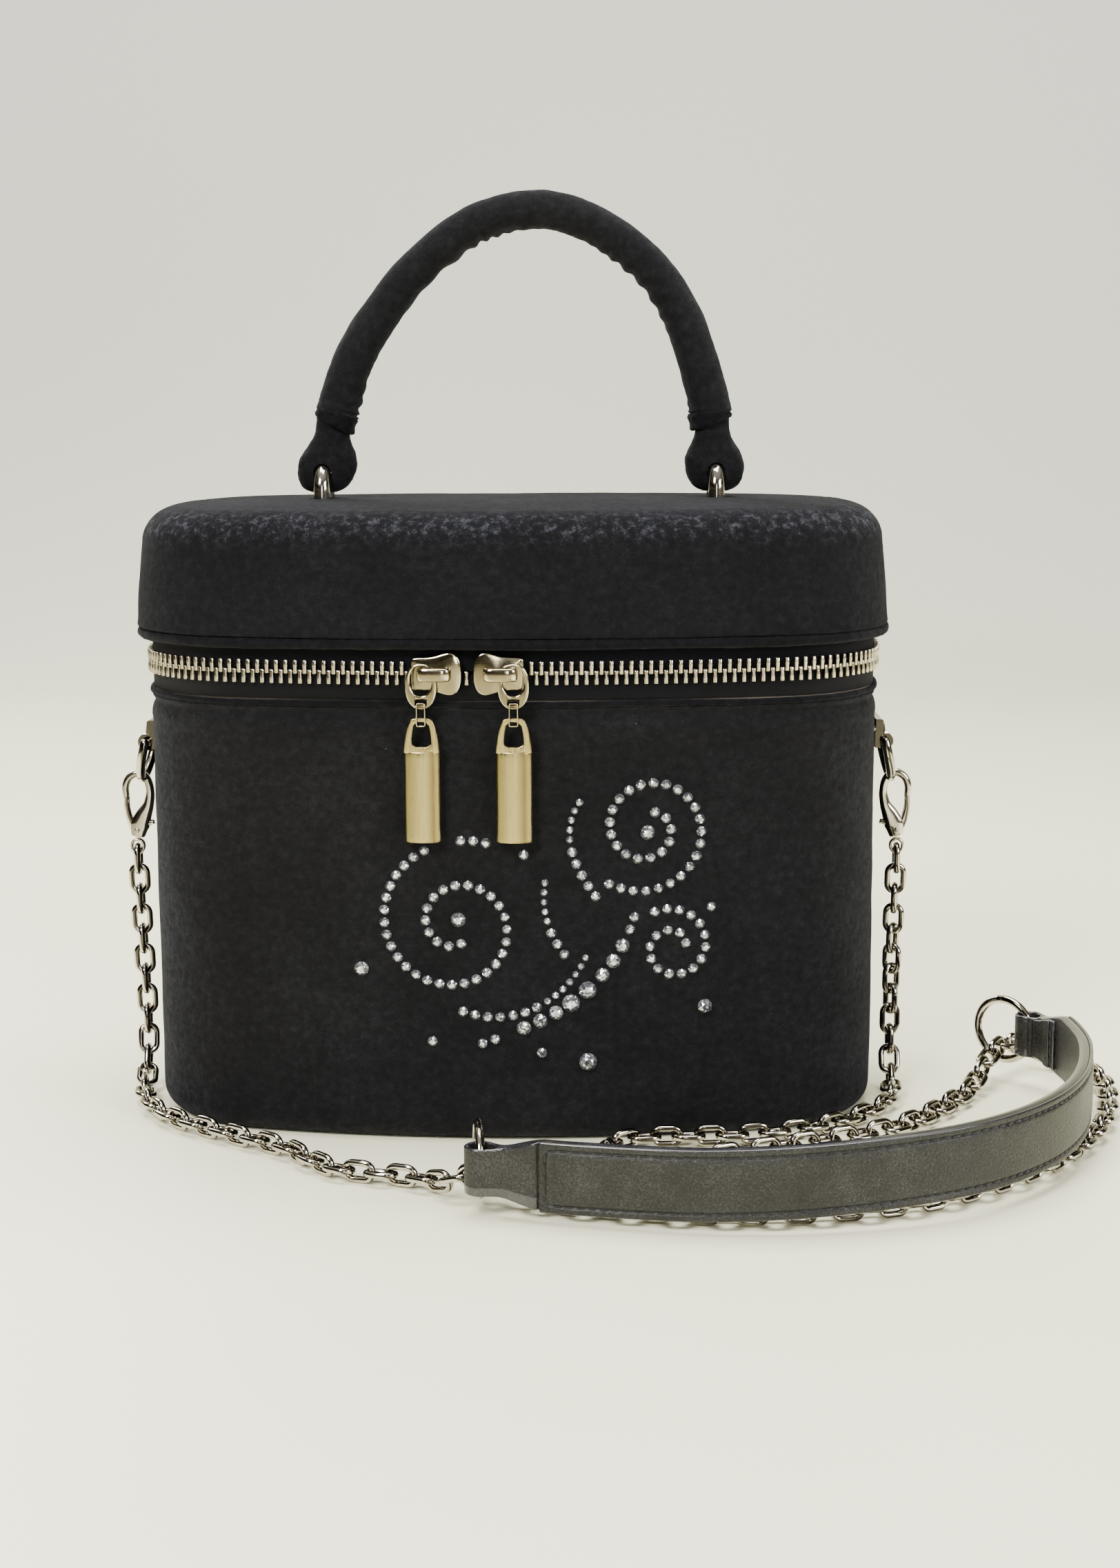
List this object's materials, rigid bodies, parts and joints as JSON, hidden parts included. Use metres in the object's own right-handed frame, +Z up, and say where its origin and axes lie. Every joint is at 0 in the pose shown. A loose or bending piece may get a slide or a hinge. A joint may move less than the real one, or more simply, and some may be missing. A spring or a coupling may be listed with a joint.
{
  "type": "vanity handbag",
  "caption": "Rigid oval velvet vanity bag with a zipped hinged lid, padded top handle, crystal scrollwork and a detachable chain strap with leather shoulder pad.",
  "frame": {"origin": "centre of the flat underside, on the surface the bag stands on", "axes": "+Z up, the decorated front faces -Y, the bag's width runs along X"},
  "size_m": [0.2776, 0.1836, 0.2482],
  "materials": {
    "velvet": "short-pile velvet",
    "board": "pressed board",
    "foam": "padding",
    "lining": "woven satin lining",
    "zip_tape": "woven tape",
    "pale_gold": "pale gold polished plating",
    "satin_gold": "satin champagne gold",
    "nickel": "polished nickel plating",
    "steel": "zinc plated",
    "leather": "smooth black leather, painted edges",
    "crystal": "faceted foiled crystal"
  },
  "bodies": {
    "bag": {"base_board": "board", "base_cover": "velvet", "base_lining": "lining", "body_cover": "velvet", "body_lining": "lining", "body_shell": "board", "body_welt": "velvet", "chain_left_drop": "nickel", "chain_left_floor": "nickel", "chain_pad_run": "nickel", "chain_right_drop": "nickel", "chain_right_floor": "nickel", "clasp_frame_left": "nickel", "clasp_frame_right": "nickel", "crystals_ss10": "crystal", "crystals_ss16": "crystal", "crystals_ss20": "crystal", "crystals_ss6": "crystal", "hinge_gusset": "velvet", "keeper_backing_plates": "steel", "keeper_nuts": "steel", "keeper_screws": "steel", "shoulder_pad": "leather", "shoulder_pad_facing": "leather", "side_keeper_left": "nickel", "side_keeper_right": "nickel", "slip_pocket": "lining", "zip_end_stops": "pale_gold", "zip_tape_lower": "zip_tape", "zip_teeth_lower": "pale_gold"},
    "lid": {"lid_cover": "velvet", "lid_foam": "foam", "lid_shell": "board", "lid_lining": "lining", "lid_piping": "velvet", "staple_plates": "steel", "staple_nuts": "steel", "handle_staple_left": "nickel", "handle_staple_right": "nickel", "zip_tape_upper": "zip_tape", "zip_teeth_upper": "pale_gold"},
    "handle": {"handle_core": "foam", "handle_cover": "velvet", "handle_tab_left": "velvet", "handle_tab_right": "velvet"},
    "slider_left_body": {"slider_left": "pale_gold"},
    "pull_eye_left_body": {"pull_eye_left": "pale_gold"},
    "pull_link_left_body": {"pull_link_left": "pale_gold"},
    "pull_bar_left_body": {"pull_bar_left": "satin_gold"},
    "d_ring_left_body": {"d_ring_left": "nickel"},
    "clasp_lever_left_body": {"clasp_lever_left": "nickel"},
    "pad_ring_left_body": {"pad_ring_left": "nickel"},
    "slider_right_body": {"slider_right": "pale_gold"},
    "pull_eye_right_body": {"pull_eye_right": "pale_gold"},
    "pull_link_right_body": {"pull_link_right": "pale_gold"},
    "pull_bar_right_body": {"pull_bar_right": "satin_gold"},
    "d_ring_right_body": {"d_ring_right": "nickel"},
    "clasp_lever_right_body": {"clasp_lever_right": "nickel"},
    "pad_ring_right_body": {"pad_ring_right": "nickel"}
  },
  "joints": [
    {"name": "lid_hinge", "type": "hinge", "parent": "bag", "child": "lid", "pos_m": [0, 0.0545, 0.124], "axis": [-1, 0, 0], "range_deg": [0, 105]},
    {"name": "handle_swing", "type": "hinge", "parent": "lid", "child": "handle", "pos_m": [0, 0, 0.168], "axis": [1, 0, 0], "range_deg": [-52, 52], "stiffness_Nm_per_rad": 0.15},
    {"name": "slider_left_travel", "type": "hinge", "parent": "bag", "child": "slider_left_body", "pos_m": [0, 0.245, 0.124], "axis": [0, 0, 1], "range_deg": [-8.2, 0]},
    {"name": "pull_eye_left_swing", "type": "hinge", "parent": "slider_left_body", "child": "pull_eye_left_body", "pos_m": [-0.02159, -0.05756, 0.124], "axis": [-0.0587, -0.9983, 0], "range_deg": [-8, 8]},
    {"name": "pull_link_left_swing", "type": "hinge", "parent": "pull_eye_left_body", "child": "pull_link_left_body", "pos_m": [-0.02159, -0.05756, 0.1156], "axis": [-0.9983, 0.0587, 0], "range_deg": [0, 22]},
    {"name": "pull_bar_left_lift", "type": "hinge", "parent": "pull_link_left_body", "child": "pull_bar_left_body", "pos_m": [-0.02159, -0.05756, 0.1125], "axis": [-0.9983, 0.0587, 0], "range_deg": [0, 70]},
    {"name": "d_ring_left_swing", "type": "hinge", "parent": "bag", "child": "d_ring_left_body", "pos_m": [-0.1019, 0, 0.0993], "axis": [0, 1, 0], "range_deg": [0, 2.5]},
    {"name": "clasp_lever_left_press", "type": "hinge", "parent": "bag", "child": "clasp_lever_left_body", "pos_m": [-0.1064, 0, 0.0736], "axis": [0, 1, 0], "range_deg": [0, 20], "stiffness_Nm_per_rad": 0.02},
    {"name": "pad_ring_left_turn", "type": "hinge", "parent": "bag", "child": "pad_ring_left_body", "pos_m": [-0.0048, -0.1107, 0.01175], "axis": [0, 0, 1], "range_deg": [-12, 0]},
    {"name": "slider_right_travel", "type": "hinge", "parent": "bag", "child": "slider_right_body", "pos_m": [0, 0.245, 0.124], "axis": [0, 0, 1], "range_deg": [0, 11.4]},
    {"name": "pull_eye_right_swing", "type": "hinge", "parent": "slider_right_body", "child": "pull_eye_right_body", "pos_m": [0.00188, -0.05832, 0.124], "axis": [-0.0063, -1, 0], "range_deg": [-8, 8]},
    {"name": "pull_link_right_swing", "type": "hinge", "parent": "pull_eye_right_body", "child": "pull_link_right_body", "pos_m": [0.00188, -0.05832, 0.1156], "axis": [-1, 0.0063, 0], "range_deg": [0, 22]},
    {"name": "pull_bar_right_lift", "type": "hinge", "parent": "pull_link_right_body", "child": "pull_bar_right_body", "pos_m": [0.00188, -0.05832, 0.1125], "axis": [-1, 0.0063, 0], "range_deg": [0, 70]},
    {"name": "d_ring_right_swing", "type": "hinge", "parent": "bag", "child": "d_ring_right_body", "pos_m": [0.1019, 0, 0.0993], "axis": [0, -1, 0], "range_deg": [0, 2.5]},
    {"name": "clasp_lever_right_press", "type": "hinge", "parent": "bag", "child": "clasp_lever_right_body", "pos_m": [0.1064, 0, 0.0736], "axis": [0, -1, 0], "range_deg": [0, 20], "stiffness_Nm_per_rad": 0.02},
    {"name": "pad_ring_right_turn", "type": "hinge", "parent": "bag", "child": "pad_ring_right_body", "pos_m": [0.1444, -0.0015, 0.01495], "axis": [0, 0, 1], "range_deg": [-12, 0]}
  ]
}
